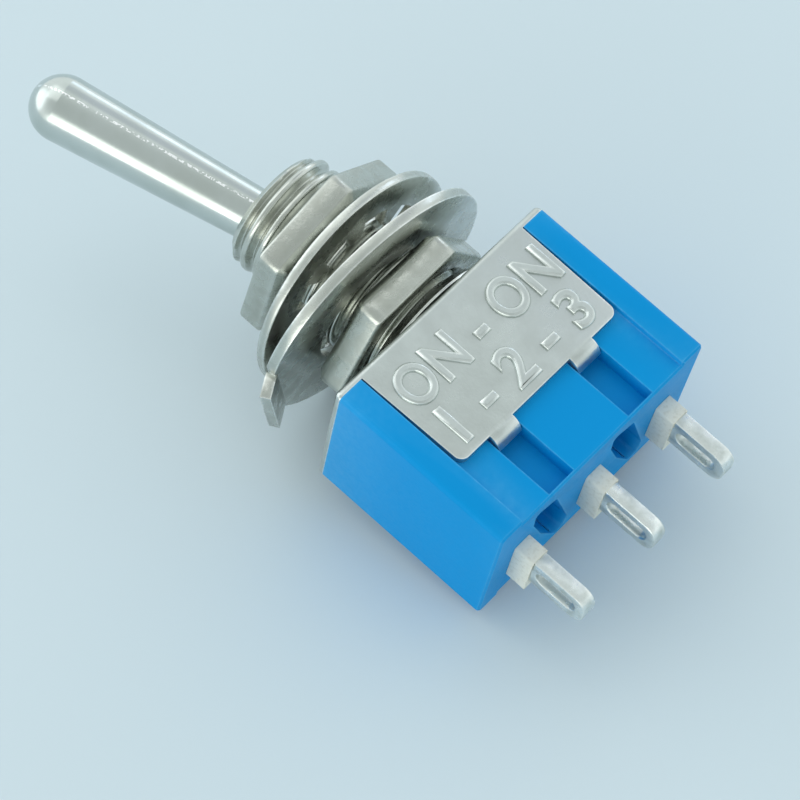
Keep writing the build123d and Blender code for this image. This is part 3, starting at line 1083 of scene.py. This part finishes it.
@dataclass(frozen=True)
class RoomPatch:
    """A round patch of the room with a soft rim, brighter or darker than the rest."""

    across: float               # its direction: to the camera's right,
    rise: float                 # up,
    outward: float              # and towards the camera
    inner: float                # degrees from its middle where the rim starts
    outer: float                # and where it ends
    colour: tuple
    mixing: Mixing = Mixing.ADD


@dataclass(frozen=True)
class Lamp:
    """A square soft lamp that shines on the switch, placed as a patch is."""

    name: str
    across: float
    rise: float
    outward: float
    reach: float                # distance from the switch
    size: float
    power: float


@dataclass
class Stage:
    """Pale table, soft studio light and camera round the lying switch."""

    table_up: tuple = (0.0, -0.99, 0.145)
    table_colour: tuple = (0.636, 0.734, 0.784)
    table_half: float = 1.2
    cloud_scale: float = 14.0
    cloud_tone: float = 0.985
    to_camera: tuple = (-0.39073, -0.89516, -0.21450)
    camera_up: tuple = (0.63346, -0.43056, 0.64292)
    aim: tuple = (-2.251 * MM, 1.888 * MM, -0.777 * MM)
    distance: float = 151.44 * MM
    focal_length: float = 154.08
    sensor_width: float = 36.0
    clip: tuple = (0.01, 5.0)
    room_overhead: tuple = (0.62, 0.68, 0.68)
    room_horizon: tuple = (1.02, 1.10, 1.11)
    overhead_span: tuple = (0.30, 0.95)     # cosine from the camera's direction: horizon, overhead
    patches: tuple = (
        RoomPatch(-0.458, -0.712, 0.530, 19.0, 31.0, (1.40, 1.43, 1.34)),
        RoomPatch(-0.92, 0.38, 0.06, 14.0, 34.0, (0.75, 0.80, 0.84)),
        RoomPatch(0.42, 0.87, -0.22, 3.0, 10.0, (1.10, 1.30, 1.70)),
        RoomPatch(0.31, 0.89, 0.30, 7.0, 17.0, (0.66, 0.67, 0.72), Mixing.MULTIPLY),
    )
    lamps: tuple = (
        Lamp("key", -0.36, 0.70, 0.50, reach=0.32, size=0.24, power=0.09),
    )

    def axes(self) -> tuple:
        """Works out the camera's directions.

        Returns:
            The directions to its right, up, and towards it from the switch.
        """
        out = Vector(self.to_camera).normalized()
        up = Vector(self.camera_up).normalized()
        right = up.cross(out).normalized()
        return right, up, out

    def seen(self, place: RoomPatch | Lamp) -> Vector:
        """Works out the direction of a patch or a lamp from the switch.

        Args:
            place: what is looked for.

        Returns:
            The direction, of length 1.
        """
        right, up, out = self.axes()
        return (right * place.across + up * place.rise + out * place.outward).normalized()

    def _rest_points(self) -> list:
        """Finds the points of the switch that may touch the table: washer rim and housing corners.

        Returns:
            The points in metres.
        """
        points = []
        low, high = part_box("housing")
        for x in (low[0], high[0]):
            for z in (low[2], high[2]):
                points.append((x, high[1], z))
        low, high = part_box("locating_washer")
        points.append(((low[0] + high[0]) / 2, high[1], (low[2] + high[2]) / 2))
        return points

    def _table_material(self) -> bpy.types.Material:
        """Builds a pale matt top that isn't seen from below.

        Returns:
            The material.
        """
        finish = FinishBuilder("Table")
        cloud = finish.effect(Effects.mottle(), Scale=self.cloud_scale, Detail=2.0, Low=0.3, High=0.7)
        darker = tuple(self.cloud_tone * channel for channel in self.table_colour)
        finish.set(Base_Color=finish.blend(cloud, self.table_colour, darker), Roughness=0.55)
        finish.set(Specular_IOR_Level=0.25)
        below = finish.nodes.new("ShaderNodeNewGeometry").outputs["Backfacing"]
        clear = finish.nodes.new("ShaderNodeBsdfTransparent")
        shown = finish.place("ShaderNodeMixShader", Fac=below)
        finish.link(finish.shader.outputs["BSDF"], shown.inputs[1])
        finish.link(clear.outputs["BSDF"], shown.inputs[2])
        finish.link(shown.outputs["Shader"], finish.nodes["Material Output"].inputs["Surface"])
        return finish.material

    def build_table(self) -> None:
        """Lays the table under the lowest points of the lying switch."""
        up = Vector(self.table_up).normalized()
        lowest = min(up.dot(Vector(point)) for point in self._rest_points())
        right = self.axes()[0]
        along = (right - up * right.dot(up)).normalized()
        side = up.cross(along)
        half = self.table_half
        signs = ((-1, -1), (1, -1), (1, 1), (-1, 1))
        corners = [up * lowest + along * a * half + side * b * half for a, b in signs]
        table = make_piece("table", corners, [(0, 1, 2, 3)])
        if table.data.polygons[0].normal.dot(up) < 0:
            table.data.flip_normals()
        table.data.materials.append(self._table_material())

    def build_world(self) -> None:
        """Sets pale surroundings, in the table's plain colour where the camera sees them."""
        world = bpy.data.worlds.new("Studio")
        world.use_nodes = True
        bpy.context.scene.world = world
        bench = NodeBench(world.node_tree)
        direction = bench.nodes.new("ShaderNodeTexCoord").outputs["Generated"]
        overhead = bench.ramp(bench.reach(direction, self.axes()[2]), *self.overhead_span, smooth=True)
        tone = bench.blend(overhead, self.room_horizon, self.room_overhead)
        for patch in self.patches:
            lean = bench.reach(direction, self.seen(patch))
            mask = bench.ramp(lean, cos(radians(patch.outer)), cos(radians(patch.inner)), smooth=True)
            tone = bench.blend(mask, tone, patch.colour, patch.mixing)
        room = bench.place("ShaderNodeBackground", Color=tone, Strength=1.0)
        shown = bench.nodes["Background"]
        shown.inputs["Color"].default_value = (*self.table_colour, 1.0)
        straight = bench.nodes.new("ShaderNodeLightPath").outputs["Is Camera Ray"]
        choice = bench.place("ShaderNodeMixShader", Fac=straight)
        bench.link(room.outputs["Background"], choice.inputs[1])
        bench.link(shown.outputs["Background"], choice.inputs[2])
        bench.link(choice.outputs["Shader"], bench.nodes["World Output"].inputs["Surface"])

    def build_lamps(self) -> None:
        """Hangs the soft lamps round the camera's line of sight."""
        for lamp in self.lamps:
            light = bpy.data.lights.new(lamp.name, "AREA")
            light.shape = "SQUARE"
            light.size = lamp.size
            light.energy = lamp.power
            place = self.seen(lamp) * lamp.reach
            holder = show(lamp.name, light)
            holder.location = place
            holder.rotation_euler = place.to_track_quat("Z", "Y").to_euler()

    def build_camera(self) -> None:
        """Sets the camera on the lying switch."""
        right, up, out = self.axes()
        data = bpy.data.cameras.new("camera")
        data.lens = self.focal_length
        data.sensor_width = self.sensor_width
        data.clip_start, data.clip_end = self.clip
        camera = show("camera", data)
        turn = Matrix((right, up, out)).transposed().to_4x4()
        camera.matrix_world = Matrix.Translation(Vector(self.aim) + out * self.distance) @ turn
        bpy.context.scene.camera = camera

    def build(self) -> None:
        """Builds the whole stage."""
        self.build_table()
        self.build_world()
        self.build_lamps()
        self.build_camera()
        bpy.context.scene.view_settings.view_transform = "Standard"
        LOG.info("stage: table, room, %d lamp and camera", len(self.lamps))


def main() -> None:
    """Builds and dresses the switch, then sets the stage."""
    logging.basicConfig(level=logging.INFO, format="%(message)s")
    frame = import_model()
    finishes = FinishSet.build()
    ThreadedBushing().assemble(finishes)
    RaisedMarks().assemble(finishes)
    for part in carried_parts(finishes):
        part.dress(frame)
    Stage().build()


if __name__ == "__main__":
    main()
